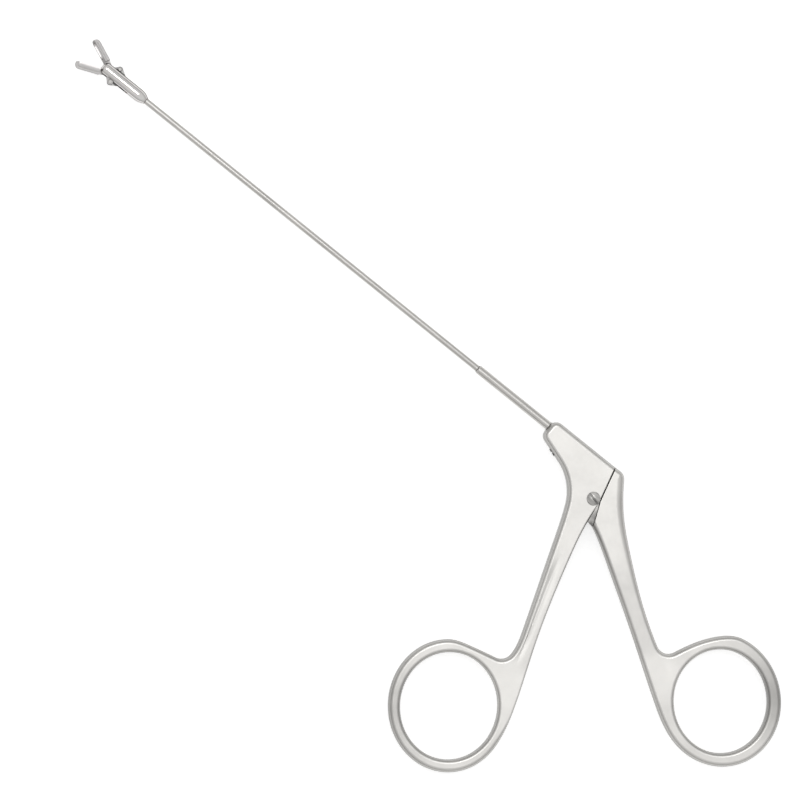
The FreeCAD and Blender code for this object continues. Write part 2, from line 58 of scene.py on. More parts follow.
cameraView = {
    "target": (-50.9, -10.6, 2.8),   # mm, middle of the picture
    "up": 128.8,                     # degrees from the shaft to the picture's upward direction
    "lean": 4.0,                     # degrees that the camera leans to the picture's left
    "distance": 1.6,                 # m
    "width": 191.7,                  # mm across the picture at the target
    "sensor": 36.0,                  # mm
    "reach": 20,                     # m that the camera sees
}


def makeCamera():
    up = math.radians(cameraView["up"])
    upward = Vector((math.cos(up), math.sin(up), 0))
    right = Vector((upward.y, -upward.x, 0))
    lean = math.radians(cameraView["lean"])
    back = Vector((0, 0, 1)) * math.cos(lean) - right * math.sin(lean)
    side = upward.cross(back).normalized()
    data = bpy.data.cameras.new("photoCamera")
    data.sensor_width = cameraView["sensor"]
    data.lens = cameraView["sensor"] * cameraView["distance"] / (cameraView["width"] * mm)
    data.clip_end = cameraView["reach"]
    camera = bpy.data.objects.new("photoCamera", data)
    turn = Matrix((side, upward, back)).transposed().to_4x4()
    place = Vector(cameraView["target"]) * mm + back * cameraView["distance"]
    camera.matrix_world = Matrix.Translation(place) @ turn
    bpy.context.scene.collection.objects.link(camera)
    bpy.context.scene.camera = camera
    return right, upward


studio = {
    "floorSize": 3.0,                # m
    "floorDrop": 0.02,               # mm from the forceps down to the floor
    "floorColor": (0.90, 0.90, 0.90, 1),
    "floorRoughness": 0.9,
    "floorGlow": 0.585,              # lifts the floor to white for the rays that see it
    "zenith": 0.58,                  # brightness of the sky overhead
    "horizon": 0.40,
    "horizonBlue": 0.99,             # blue of the horizon, as a share of its red and green
    "skyBand": (0.15, 0.85),         # heights between which the sky goes from one to the other
    "boxPlace": (0.0, 0.45, 2.2),    # m to the picture's right, to its top and up
    "boxSize": 0.65,                 # m
    "boxWatts": 5.0,
}


# 1 for the rays that show the floor to the camera, in a mirror or through glass.
def pictureRays(tree):
    path = tree.nodes.new("ShaderNodeLightPath")
    rays = path.outputs["Is Camera Ray"]
    for name in ("Is Glossy Ray", "Is Transmission Ray"):
        either = tree.nodes.new("ShaderNodeMath")
        either.operation = "MAXIMUM"
        tree.links.new(rays, either.inputs[0])
        tree.links.new(path.outputs[name], either.inputs[1])
        rays = either.outputs[0]
    return rays


def makeFloor():
    half = studio["floorSize"] / 2
    mesh = bpy.data.meshes.new("studioFloor")
    corners = [(-half, -half, 0), (half, -half, 0), (half, half, 0), (-half, half, 0)]
    mesh.from_pydata(corners, [], [(0, 1, 2, 3)])
    floor = bpy.data.objects.new("studioFloor", mesh)
    floor.location.z = -studio["floorDrop"] * mm
    bpy.context.scene.collection.objects.link(floor)
    material = bpy.data.materials.new("paleFloor")
    material.use_nodes = True
    shader = material.node_tree.nodes["Principled BSDF"]
    shader.inputs["Base Color"].default_value = studio["floorColor"]
    shader.inputs["Roughness"].default_value = studio["floorRoughness"]
    shader.inputs["Specular IOR Level"].default_value = 0.0
    shader.inputs["Emission Color"].default_value = (1, 1, 1, 1)
    glow = material.node_tree.nodes.new("ShaderNodeMath")
    glow.operation = "MULTIPLY"
    glow.inputs[1].default_value = studio["floorGlow"]
    material.node_tree.links.new(pictureRays(material.node_tree), glow.inputs[0])
    material.node_tree.links.new(glow.outputs[0], shader.inputs["Emission Strength"])
    mesh.materials.append(material)


def makeSky():
    world = bpy.data.worlds.new("softStudio")
    bpy.context.scene.world = world
    world.use_nodes = True
    tree = world.node_tree
    place = tree.nodes.new("ShaderNodeTexCoord")
    split = tree.nodes.new("ShaderNodeSeparateXYZ")
    ramp = tree.nodes.new("ShaderNodeValToRGB")
    tree.links.new(place.outputs["Generated"], split.inputs[0])
    tree.links.new(split.outputs["Z"], ramp.inputs["Fac"])
    low, high = studio["horizon"], studio["zenith"]
    colors = [(low, low, low * studio["horizonBlue"], 1), (high, high, high, 1)]
    ramp.color_ramp.interpolation = "EASE"
    for i in (0, 1):
        ramp.color_ramp.elements[i].position = studio["skyBand"][i]
        ramp.color_ramp.elements[i].color = colors[i]
    tree.links.new(ramp.outputs["Color"], tree.nodes["Background"].inputs["Color"])


def makeSoftBox(right, upward):
    data = bpy.data.lights.new("softBox", "AREA")
    data.shape = "DISK"
    data.size = studio["boxSize"]
    data.energy = studio["boxWatts"]
    lamp = bpy.data.objects.new("softBox", data)
    middle = Vector(cameraView["target"]) * mm
    place = studio["boxPlace"]
    spot = middle + right * place[0] + upward * place[1] + Vector((0, 0, place[2]))
    turn = (spot - middle).to_track_quat("Z", "Y").to_matrix().to_4x4()
    lamp.matrix_world = Matrix.Translation(spot) @ turn
    bpy.context.scene.collection.objects.link(lamp)


pictureRight, pictureUp = makeCamera()
makeFloor()
makeSky()
makeSoftBox(pictureRight, pictureUp)
bpy.context.scene.view_settings.view_transform = "Standard"
print("camera, floor and light are in place")


# Shared shader effects

def newGroup(name, inputs, outputs):
    group = bpy.data.node_groups.new(name, "ShaderNodeTree")
    for label, kind, value in inputs:
        socket = group.interface.new_socket(name=label, in_out="INPUT", socket_type=kind)
        if value is not None:
            socket.default_value = value
    for label, kind in outputs:
        group.interface.new_socket(name=label, in_out="OUTPUT", socket_type=kind)
    return group, group.nodes.new("NodeGroupInput"), group.nodes.new("NodeGroupOutput")


def addNode(tree, kind, settings=(), values=(), links=()):
    node = tree.nodes.new(kind)
    for name, value in settings:
        setattr(node, name, value)
    for name, value in values:
        node.inputs[name].default_value = value
    for name, source in links:
        tree.links.new(source, node.inputs[name])
    return node


# A slow cloudy change of tone over a piece, a fine grain and scattered rub marks, each as a value
# near 0.
def makeSteelTone():
    group, given, result = newGroup(
        "steelTone",
        [("Place", "NodeSocketVector", None), ("Cloud Scale", "NodeSocketFloat", 90.0),
         ("Grain Scale", "NodeSocketFloat", 5200.0), ("Rub Scale", "NodeSocketFloat", 700.0)],
        [("Cloud", "NodeSocketFloat"), ("Grain", "NodeSocketFloat"), ("Rub", "NodeSocketFloat")])
    for label, detail in (("Cloud", 3.0), ("Grain", 2.0), ("Rub", 4.0)):
        noise = addNode(group, "ShaderNodeTexNoise", [("noise_dimensions", "3D")],
                        [("Detail", detail), ("Roughness", 0.55)],
                        [("Vector", given.outputs["Place"]),
                         ("Scale", given.outputs[label + " Scale"])])
        centred = addNode(group, "ShaderNodeMath", [("operation", "SUBTRACT")], [(1, 0.5)],
                          [(0, noise.outputs[0])])
        group.links.new(centred.outputs[0], result.inputs[label])
    return group


# How steep the surface stands: 0 on the flat sides of the forceps, 1 on its walls.
def makeEdgeMask():
    group, given, result = newGroup(
        "edgeMask",
        [("Facing", "NodeSocketVector", None)], [("Steepness", "NodeSocketFloat")])
    split = addNode(group, "ShaderNodeSeparateXYZ", links=[(0, given.outputs["Facing"])])
    level = addNode(group, "ShaderNodeMath", [("operation", "ABSOLUTE")],
                    links=[(0, split.outputs["Z"])])
    steep = addNode(group, "ShaderNodeMath", [("operation", "SUBTRACT"), ("use_clamp", True)],
                    [(0, 1.0)], [(1, level.outputs[0])])
    group.links.new(steep.outputs[0], result.inputs["Steepness"])
    return group


# Fine parallel lines from grinding or turning, as a value near 0.
def makeBrushLines():
    group, given, result = newGroup(
        "brushLines",
        [("Place", "NodeSocketVector", None), ("Scale", "NodeSocketFloat", 4000.0)],
        [("Lines", "NodeSocketFloat")])
    noise = addNode(group, "ShaderNodeTexNoise", [("noise_dimensions", "3D")],
                    [("Detail", 2.0), ("Roughness", 0.6)],
                    [("Vector", given.outputs["Place"]), ("Scale", given.outputs["Scale"])])
    centred = addNode(group, "ShaderNodeMath", [("operation", "SUBTRACT")], [(1, 0.5)],
                      [(0, noise.outputs[0])])
    group.links.new(centred.outputs[0], result.inputs["Lines"])
    return group


# A round patch that fades out from its middle, used for painted shade and painted highlights.
def makeShadingPatch():
    group, given, result = newGroup(
        "shadingPatch",
        [("Place", "NodeSocketVector", None), ("Middle", "NodeSocketVector", (0, 0, 0)),
         ("Reach", "NodeSocketFloat", 0.01)],
        [("Patch", "NodeSocketFloat")])
    gap = addNode(group, "ShaderNodeVectorMath", [("operation", "DISTANCE")],
                  links=[(0, given.outputs["Place"]), (1, given.outputs["Middle"])])
    patch = addNode(group, "ShaderNodeMapRange",
                    [("clamp", True), ("interpolation_type", "SMOOTHSTEP")],
                    [("From Min", 0.0), ("To Min", 1.0), ("To Max", 0.0)],
                    [("Value", gap.outputs["Value"]), ("From Max", given.outputs["Reach"])])
    group.links.new(patch.outputs["Result"], result.inputs["Patch"])
    return group


# Painted shade inside a slot: all that lies nearer than the reach to the plane Z = 0 of the given
# place.
def makeInnerShade():
    group, given, result = newGroup(
        "innerShade", [("Place", "NodeSocketVector", None), ("Reach", "NodeSocketFloat", 0.002),
                       ("Fade", "NodeSocketFloat", 0.00008)],
        [("Shade", "NodeSocketFloat")])
    split = addNode(group, "ShaderNodeSeparateXYZ", links=[(0, given.outputs["Place"])])
    height = addNode(group, "ShaderNodeMath", [("operation", "ABSOLUTE")],
                     links=[(0, split.outputs["Z"])])
    start = addNode(group, "ShaderNodeMath", [("operation", "SUBTRACT")],
                    links=[(0, given.outputs["Reach"]), (1, given.outputs["Fade"])])
    shade = addNode(group, "ShaderNodeMapRange", [("clamp", True)],
                    [("To Min", 1.0), ("To Max", 0.0)],
                    [("Value", height.outputs[0]), ("From Min", start.outputs[0]),
                     ("From Max", given.outputs["Reach"])])
    group.links.new(shade.outputs["Result"], result.inputs["Shade"])
    return group


steelTone = makeSteelTone()
innerShade = makeInnerShade()
shadingPatch = makeShadingPatch()
edgeMask = makeEdgeMask()
brushLines = makeBrushLines()


# The Mix node's colours are its inputs 6 and 7 and its output 2.
def multiplied(tree, first, second):
    node = addNode(tree, "ShaderNodeMix", [("data_type", "RGBA"), ("blend_type", "MULTIPLY")],
                   [(0, 1.0)], [(6, first), (7, second)])
    return node.outputs[2]


def scaled(tree, source, factor, offset=0.0):
    node = addNode(tree, "ShaderNodeMath", [("operation", "MULTIPLY_ADD")],
                   [(1, factor), (2, offset)], [(0, source)])
    return node.outputs[0]


def added(tree, first, second):
    node = addNode(tree, "ShaderNodeMath", [("operation", "ADD")], links=[(0, first), (1, second)])
    return node.outputs[0]


def placedGroup(tree, group, values=(), links=()):
    return addNode(tree, "ShaderNodeGroup", [("node_tree", group)], values, links)


# Painted shade: walls and edges are darker than the flat sides and the tops of round parts, by
# levels of (steepness, brightness). The levels at 0 and 1 come first, because a new ramp has those
# two stops.
def steepRamp(tree, steepness, tint, levels):
    ramp = tree.nodes.new("ShaderNodeValToRGB")
    tree.links.new(steepness, ramp.inputs["Fac"])
    stops = ramp.color_ramp.elements
    for number, (place, level) in enumerate(levels):
        stop = stops[number] if place in (0.0, 1.0) else stops.new(place)
        stop.position = place
        stop.color = tuple(level * part for part in tint) + (1,)
    return ramp.outputs["Color"]


# One steel finish. Brushing stretches the lines along an axis. A patch of painted shade is (middle
# in mm, reach, depth), and is a painted highlight where its depth is below zero. The painted shade
# inside a slot is (y and z of its middle plane, its roll in degrees, reach, depth).
def makeSteel(name, finish):
    material = bpy.data.materials.new(name)
    material.use_nodes = True
    tree = material.node_tree
    shader = tree.nodes["Principled BSDF"]
    shader.inputs["Metallic"].default_value = 1.0
    shader.inputs["Specular Tint"].default_value = [finish["rimTint"]] * 3 + [1.0]
    coordinates = tree.nodes.new("ShaderNodeTexCoord")
    place = coordinates.outputs["Object"]
    tone = placedGroup(tree, steelTone, [("Cloud Scale", finish["cloudScale"]),
                                         ("Grain Scale", finish["grainScale"]),
                                         ("Rub Scale", finish["rubScale"])], [("Place", place)])
    edge = placedGroup(tree, edgeMask, links=[("Facing", coordinates.outputs["Normal"])])
    stretch = addNode(tree, "ShaderNodeMapping", values=[("Rotation", finish["brushTurn"]),
                                                         ("Scale", finish["brushStretch"])],
                      links=[("Vector", place)])
    brush = placedGroup(tree, brushLines, [("Scale", finish["brushScale"])],
                        [("Place", stretch.outputs["Vector"])])
    color = steepRamp(tree, edge.outputs["Steepness"], finish["tint"], finish["levels"])
    shift = added(tree, scaled(tree, tone.outputs["Cloud"], finish["cloud"], 1.0),
                  added(tree, scaled(tree, tone.outputs["Rub"], finish["rub"]),
                        scaled(tree, brush.outputs["Lines"], finish["brushTone"])))
    for middle, reach, depth in finish["patches"]:
        patch = placedGroup(tree, shadingPatch, [("Middle", [part * mm for part in middle]),
                                              ("Reach", reach * mm)], [("Place", place)])
        shift = added(tree, shift, scaled(tree, patch.outputs["Patch"], -depth))
    if finish["inner"]:
        y, z, roll, reach, depth = finish["inner"]
        turned = addNode(tree, "ShaderNodeMapping", [("vector_type", "TEXTURE")],
                         [("Location", (0, y * mm, z * mm)),
                          ("Rotation", (math.radians(roll), 0, 0))],
                         [("Vector", place)])
        inner = placedGroup(tree, innerShade, [("Reach", reach * mm)],
                            [("Place", turned.outputs["Vector"])])
        shift = added(tree, shift, scaled(tree, inner.outputs["Shade"], -depth))
    shade = addNode(tree, "ShaderNodeCombineColor", links=[(0, shift), (1, shift), (2, shift)])
    tree.links.new(multiplied(tree, color, shade.outputs[0]), shader.inputs["Base Color"])
    rough = added(tree,
                  scaled(tree, tone.outputs["Cloud"], finish["roughCloud"], finish["roughness"]),
                  scaled(tree, edge.outputs["Steepness"], finish["edgeRough"]))
    tree.links.new(rough, shader.inputs["Roughness"])
    height = added(tree, scaled(tree, tone.outputs["Grain"], finish["grain"]),
                   scaled(tree, brush.outputs["Lines"], finish["brush"]))
    bump = addNode(tree, "ShaderNodeBump", values=[("Strength", finish["bump"]),
                                                   ("Distance", finish["bumpDepth"] * mm)],
                   links=[("Height", height)])
    tree.links.new(bump.outputs["Normal"], shader.inputs["Normal"])
    return material


# The levels of every finish paint shade on walls and rounded edges, darker the steeper they stand.
satin = {
    "tint": (1.0, 0.982, 0.948),
    "levels": [(0.0, 0.86), (1.0, 0.30), (0.05, 0.84), (0.30, 0.58), (0.70, 0.36)],
    "rimTint": 1.0,                  # how white a mirror image gets at a flat angle
    "roughness": 0.38, "roughCloud": 0.10, "edgeRough": -0.04,
    "cloudScale": 110.0, "cloud": 0.38, "rubScale": 900.0, "rub": 0.05,
    "grainScale": 4200.0, "grain": 0.8, "bump": 0.25, "bumpDepth": 0.02,    # mm
    "brushTurn": (0, 0, 0), "brushStretch": (1, 1, 1), "brushScale": 2500.0,
    "brush": 0.0, "brushTone": 0.0,
    "patches": [], "inner": None,
}
# Painted shade in the rims of the rivets through the jaws' tails.
rimShade = {"pins": ("upper_jaw_tail_pin", "lower_jaw_tail_pin"), "reach": 1.05, "depth": 1.3}
tailRimShades = []
for node in rimShade["pins"]:
    low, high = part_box(node)
    middle = [(a + b) / 2 / mm for a, b in zip(low, high)]
    tailRimShades.append((middle, rimShade["reach"], rimShade["depth"]))
# Painted shade on the tongue under the screw, painted light and shade along the handles, and
# painted shade where the jaws' tails go into the slot.
tongueShade = [((3.0, -3.4, 2.8), 3.1, 0.74), ((3.5, -5.5, 3.5), 1.7, 0.85)]
# Painted light and shade along the handles: darker near the rings, lighter on the shanks.
handleLightAndShade = [((63.0, -10.0, 5.0), 15.0, 0.42), ((-6.0, -69.0, 5.0), 20.0, 0.22),
               ((39.0, -22.0, 5.0), 10.0, -0.12), ((12.0, -46.5, 5.0), 8.0, -0.07)]
jawRoots = [((-154.25, 6.95, 2.8), 3.0, 0.9)]
finishes = {
    "handle_steel": dict(satin, patches=tongueShade + handleLightAndShade),
    # The screw's slot floor and the wall of its head's rim get painted shade.
    "screw_steel": dict(
        satin, levels=[(0.0, 0.60), (1.0, 0.30)], roughness=0.36, bump=0.4,
        brushTurn=(0, 0, math.radians(15)), brushStretch=(0.06, 1, 1), brushScale=1900.0,
        brush=1.0, brushTone=1.7, inner=(0.0, 3.9, 0.0, 1.98, 0.55)),
    "shaft_steel": dict(
        satin, tint=(1.0, 0.975, 0.94), roughness=0.30,
        levels=[(0.0, 0.80), (1.0, 0.46), (0.10, 0.78), (0.30, 0.62), (0.60, 0.50)],
        brushStretch=(0.03, 1, 1), brushScale=5200.0, brush=0.5, brushTone=0.10),
    # The yoke gets a painted highlight along its top from its levels, and painted shade on its slot
    # walls.
    "tip_steel": dict(
        satin, tint=(1.0, 0.972, 0.955), rimTint=0.35, roughness=0.05, grain=0.2,
        levels=[(0.0, 0.97), (1.0, 0.48), (0.22, 0.97), (0.34, 0.66), (0.60, 0.58)],
        inner=(6.95, 2.8, 14.0, 0.53, 0.50)),
    "jaw_steel": dict(
        satin, tint=(1.0, 0.975, 0.965), rimTint=0.35, roughness=0.34,
        levels=[(0.0, 0.92), (1.0, 0.46), (0.25, 0.90), (0.35, 0.58)],
        brushStretch=(0.05, 1, 1), brushScale=3000.0, brush=0.4, brushTone=0.35,
        patches=jawRoots + tailRimShades),
    "drive_steel": dict(satin, levels=[(0.0, 0.60), (1.0, 0.36)], roughness=0.36),
    "pin_steel": dict(satin, levels=[(0.0, 0.98), (1.0, 0.30)], roughness=0.22, grain=0.2),
}
# The links get painted shade where they lie in the yoke and come out of it, and round the tail
# rivets.
linkFinish = dict(
    satin, tint=(1.0, 0.99, 0.98), levels=[(0.0, 0.84), (1.0, 0.36)], roughness=0.30,
    inner=(6.95, 2.8, 104.0, 1.72, 0.62), patches=tailRimShades)
steels = {slot: makeSteel(slot.replace("_s", "S"), finish) for slot, finish in finishes.items()}
linkSteel = makeSteel("linkSteel", linkFinish)
slotOf = {part["node"]: part["material_slot"] for part in frame["record"]["subparts"]}
for name, piece in nodes.items():
    piece.data.materials.clear()
    piece.data.materials.append(linkSteel if name.endswith("_link") else steels[slotOf[name]])
print("materials:", ", ".join(sorted(steel.name for steel in [*steels.values(), linkSteel])))


# Handle shells: each handle's plate, with its edges rounded as the polishing left them

def heading(angle):
    return np.array((math.cos(math.radians(angle)), math.sin(math.radians(angle))))


def eased(part):
    return part * part * (3 - 2 * part)


# The point at height y of a line that leans by an angle and passes the pivot at a distance.
def onLean(distance, lean, y):
    x = (distance - y * math.sin(math.radians(lean))) / math.cos(math.radians(lean))
    return np.array((x, y))


# Where two such lines meet, at the same distance from the pivot.
def leanCorner(distance, leanA, leanB):
    middle = (leanA + leanB) / 2
    return heading(middle) * distance / math.cos(math.radians((leanA - leanB) / 2))


def ellipseAt(shape, angles):
    length, width, lean = shape["size"]
    turn = np.radians(np.atleast_1d(angles))[:, None]
    along = heading(lean) * length * np.cos(turn)
    across = heading(lean + 90) * width * np.sin(turn)
    return np.array(shape["centre"]) + along + across


def ellipseWay(shape, angle):
    length, width, lean = shape["size"]
    turn = math.radians(angle)
    way = -heading(lean) * length * math.sin(turn) + heading(lean + 90) * width * math.cos(turn)
    return way / np.linalg.norm(way)


# A smooth curve through points, with a given direction at each end.
def curveThrough(points, startWay, endWay, grain):
    points = np.array(points, float)
    gaps = np.linalg.norm(np.diff(points, axis=0), axis=1)
    count = len(points)
    system, sides = np.eye(count), np.zeros((count, 2))
    sides[0], sides[-1] = startWay, endWay
    for i in range(1, count - 1):
        before, after = gaps[i - 1], gaps[i]
        system[i, i - 1:i + 2] = after, 2 * (before + after), before
        sides[i] = 3 * (after / before * (points[i] - points[i - 1])
                        + before / after * (points[i + 1] - points[i]))
    slopes = np.linalg.solve(system, sides)
    result = []
    for i, gap in enumerate(gaps):
        u = np.linspace(0, 1, max(2, round(gap / grain)), endpoint=False)[:, None]
        result.append((2 * u ** 3 - 3 * u ** 2 + 1) * points[i]
                      + (u ** 3 - 2 * u ** 2 + u) * gap * slopes[i]
                      + (3 * u ** 2 - 2 * u ** 3) * points[i + 1]
                      + (u ** 3 - u ** 2) * gap * slopes[i + 1])
    return np.vstack(result + [points[-1:]])


# An outline is walked run by run. A run's rounding is (width on the face, depth on the wall), at
# its start and at its end, and the span is the share of the run over which it changes. Each point
# keeps the rounding before it and the one after it.
class Walk:
    def __init__(self, start, grain):
        self.at = np.array(start, float)
        self.grain = grain
        self.points, self.edges = [], []

    def add(self, run, startEdge, endEdge=None, span=1.0):
        run = np.atleast_2d(run)
        first, last = np.array(startEdge), np.array(startEdge if endEdge is None else endEdge)
        gaps = np.linalg.norm(np.diff(np.vstack([self.at, run]), axis=0), axis=1)
        along = np.concatenate([[0], np.cumsum(gaps)])
        share = eased(np.clip(along / along[-1] / span, 0, 1))
        edges = first + (last - first) * share[:, None]
        if not self.points:
            self.points.append(self.at)
            self.edges.append([edges[0], edges[0]])
        self.edges[-1][1] = edges[0]
        for place, edge in zip(run, edges[1:]):
            self.points.append(place)
            self.edges.append([edge, edge])
        self.at = run[-1]

    def line(self, end, startEdge, endEdge=None, steps=1):
        parts = np.linspace(0, 1, steps + 1)[1:, None]
        self.add(self.at + (np.array(end) - self.at) * parts, startEdge, endEdge)

    # The point at a distance from here on the way to the end, or before the end if it is negative.
    def part(self, end, distance):
        way = (np.array(end) - self.at) / np.linalg.norm(np.array(end) - self.at)
        return self.at + way * distance if distance > 0 else np.array(end) + way * distance

    def bend(self, radius, way, turn, edge, endEdge=None):
        side = 90 if turn > 0 else -90
        centre = self.at + heading(way + side) * radius
        steps = max(4, round(abs(math.radians(turn)) * radius / self.grain))
        run = [centre + heading(way - side + turn * k / steps) * radius
               for k in range(1, steps + 1)]
        self.add(run, edge, endEdge)

    def curve(self, points, startWay, endWay, startEdge, endEdge=None, span=1.0):
        points = [self.at] + [np.array(point) for point in points]
        run = curveThrough(points, startWay, endWay, self.grain)
        self.add(run[1:], startEdge, endEdge, span)

    def ellipse(self, shape, span, edge):
        length = math.radians(span[1] - span[0]) * shape["size"][0]
        steps = round(length / self.grain)
        self.add(ellipseAt(shape, np.linspace(span[0], span[1], steps + 1)[1:]), edge)

    def closed(self):
        points, edges = np.array(self.points[:-1]), np.array(self.edges[:-1])
        edges[0][0] = self.edges[-1][0]
        return points, edges


# The outline moved inwards by a share of the width of each point's own rounding, and a bit extra.
def inset(points, edges, share, extra):
    before = points - np.roll(points, 1, axis=0)
    after = np.roll(points, -1, axis=0) - points
    normals = []
    for way in (before, after):
        way = way / np.linalg.norm(way, axis=1)[:, None]
        normals.append(np.stack([-way[:, 1], way[:, 0]], axis=1))
    first, second = normals
    near = np.einsum("ij,ij->i", first, second)
    middle = first + second
    middle /= np.linalg.norm(middle, axis=1)[:, None]
    depth = edges[:, :, 0] * share + extra
    moved = points + middle * (depth.mean(axis=1) / np.sqrt((1 + near) / 2))[:, None]
    for i in np.nonzero(near < math.cos(math.radians(shellShape["sharpTurn"])))[0]:
        moved[i] = points[i] + np.linalg.solve(np.array([first[i], second[i]]), depth[i])
    return moved


shellShape = {
    "middle": 2.8, "halfBody": 2.8, "halfRing": 2.3,    # mm, as the forceps lies on its side
    "grain": 0.35,                   # length of a step along the outline
    "skin": 0.04, "skinTop": 0.004,  # how far the shell stays inside the solid's walls and sides
    "arcSteps": 7,
    "flatBand": 0.12,                # width of the narrow strip from a rounding to the flat side
    "edge": (1.02, 1.44), "softEdge": (1.75, 1.44),     # width and depth of each rounding
    "rim": (0.89, 1.26), "crisp": (0.42, 1.00), "seam": (0.14, 0.60),
    "cornerRun": 2.1,                # straight stretch of the seam that a rounded corner takes
    "sharpTurn": 20, "sharpEdge": 32,    # degrees from which a corner or an edge stays sharp
    "weld": 0.002, "solidWeld": 0.001,   # points nearer than this become one
    "tolerance": 1e-7,               # mm, for the triangles of the flat sides
}
# Both outlines are in mm and degrees. An arc (crook, armpit, saddle, corner) is its radius and
# turn. An ellipse's size is half its length, half its width and its lean. A taper is its
# direction, and the distances along it between which the handle gets thinner.
frontShell = {
    "stop": 1.68, "seamLean": 14.0, "cheekLean": 8.7, "top": 9.2, "nose": -19.1, "noseCorner": 2.0,
    "belly": 3.6, "bellyLean": 18.0, "bellyLength": 6.1, "crook": (12.9, 48.0),
    "seamSteps": 8,
    "lead": [(-0.57, -14.7), (3.25, -25.4), (6.55, -34.75), (8.07, -41.3)],
    "armpit": (3.05, 77.6), "brow": (-0.85, -45.85),
    "cheek": [(16.65, -50.6), (10.85, -35.1), (4.75, -15.2)], "cheekTop": -5.4,
    "cheekSpan": 0.16,               # share of the cheek's run over which its rounding narrows
    "ring": {"centre": (4.0, -60.5), "size": (16.0, 14.45, 128.4)}, "ringSpan": (0.0, 231.5),
    "hole": {"centre": (4.14, -60.42), "size": (12.83, 11.7, 124.8)},
    "taper": (-86.0, 14.0, 44.0),
    # A shallow hollow ground along the shank: its crease, depth, width on either side and the fade
    # past its ends.
    "hollow": {
        "start": (8.2, -35.1), "end": (4.4, -22.8), "depth": 0.17, "left": 2.1, "right": 1.3,
        "fade": 8.5, "creaseSharpness": 1.8, "step": 0.5, "margin": 0.22,
        "rows": (-1.3, -0.95, -0.65, -0.4, -0.2, 0, 0.2, 0.4, 0.65, 0.95, 1.3, 1.7),
    },
}
rearShell = {
    "stop": 1.73, "seamLean": 14.0, "shoulderLean": 22.7, "top": 9.2, "shoulder": -5.3,
    "under": [(12.4, -9.95), (27.45, -19.3), (42.15, -28.75)], "underWay": -24,
    "brow": [(44.45, -6.85), (41.35, -10.95), (38.54, -16.47)],
    "saddle": (3.0, 95.0), "saddleWay": -114,
    "back": [(25.05, -12.06), (15.18, -4.52), (8.05, 1.89), (3.1, 8.25)], "corner": (2.3, 56.0),
    "ring": {"centre": (54.2, -18.52), "size": (16.25, 14.76, 143.7)}, "ringSpan": (118.0, 322.0),
    "hole": {"centre": (54.61, -18.70), "size": (12.43, 11.29, 132.8)},
    "taper": (-18.8, 14.0, 40.0),
}


def frontOutline():
    front = frontShell
    edge, crisp, seam = shellShape["edge"], shellShape["crisp"], shellShape["seam"]
    corner, lean = front["noseCorner"], front["bellyLean"]
    walk = Walk(onLean(front["stop"], front["seamLean"], front["top"]), shellShape["grain"])
    walk.line((front["nose"] + corner, front["top"]), edge)
    walk.bend(corner, 180, 90, edge)
    walk.line((front["nose"], front["belly"] + corner * math.cos(math.radians(lean))), edge)
    walk.bend(corner, 270, 90 - lean, edge)
    walk.line(walk.at + heading(-lean) * front["bellyLength"], edge)
    walk.bend(front["crook"][0], -lean, -front["crook"][1], edge)
    walk.curve(front["lead"], heading(-lean - front["crook"][1]), heading(-90), edge)
    walk.bend(front["armpit"][0], -90, -front["armpit"][1], edge)
    start, end = front["ringSpan"]
    walk.curve([front["brow"], ellipseAt(front["ring"], start)[0]],
               heading(-90 - front["armpit"][1]), ellipseWay(front["ring"], start), edge)
    walk.ellipse(front["ring"], front["ringSpan"], edge)
    cheekEnd = onLean(front["stop"], front["cheekLean"], front["cheekTop"])
    walk.curve(front["cheek"] + [cheekEnd], ellipseWay(front["ring"], end),
               heading(90 + front["cheekLean"]), edge, crisp, front["cheekSpan"])
    turn = leanCorner(front["stop"], front["seamLean"], front["cheekLean"])
    walk.line(turn, crisp, seam, front["seamSteps"])
    walk.line(walk.part(walk.points[0], -shellShape["cornerRun"]), seam)
    walk.line(walk.points[0], seam)
    return walk.closed()


def rearOutline():
    rear = rearShell
    edge, soft, seam = shellShape["edge"], shellShape["softEdge"], shellShape["seam"]
    saddleWay, cornerWay = rear["saddleWay"], 180 - rear["corner"][1]
    walk = Walk(onLean(rear["stop"], rear["seamLean"], rear["top"]), shellShape["grain"])
    turn = leanCorner(rear["stop"], rear["seamLean"], rear["shoulderLean"])
    foot = onLean(rear["stop"], rear["shoulderLean"], rear["shoulder"])
    walk.line(walk.part(turn, shellShape["cornerRun"]), seam)
    walk.line(turn, seam)
    walk.line(walk.part(foot, -shellShape["cornerRun"]), seam)
    walk.line(foot, seam)
    start, end = rear["ringSpan"]
    walk.curve(rear["under"] + [ellipseAt(rear["ring"], start)[0]], heading(rear["underWay"]),
               ellipseWay(rear["ring"], start), edge)
    walk.ellipse(rear["ring"], rear["ringSpan"], edge)
    walk.curve(rear["brow"], ellipseWay(rear["ring"], end), heading(saddleWay), edge)
    walk.bend(rear["saddle"][0], saddleWay, -rear["saddle"][1], edge)
    walk.curve(rear["back"], heading(saddleWay - rear["saddle"][1]), heading(cornerWay), edge,
               soft)
    walk.bend(rear["corner"][0], cornerWay, rear["corner"][1], soft, edge)
    walk.line(walk.points[0], edge)
    return walk.closed()


def holeOutline(hole):
    steps = round(2 * math.pi * hole["size"][0] / shellShape["grain"])
    points = ellipseAt(hole, np.linspace(0, -360, steps, endpoint=False))
    return points, np.tile(shellShape["rim"], (steps, 2, 1))


def halfThickness(points, taper):
    way, start, end = taper
    share = eased(np.clip((points @ heading(way) - start) / (end - start), 0, 1))
    return shellShape["halfBody"] + (shellShape["halfRing"] - shellShape["halfBody"]) * share


def isInside(point, loop):
    crossings = 0
    for first, second in zip(loop, loop[1:] + loop[:1]):
        if (first.y > point.y) != (second.y > point.y):
            part = (point.y - first.y) / (second.y - first.y)
            crossings += first.x + part * (second.x - first.x) > point.x
    return crossings % 2 == 1


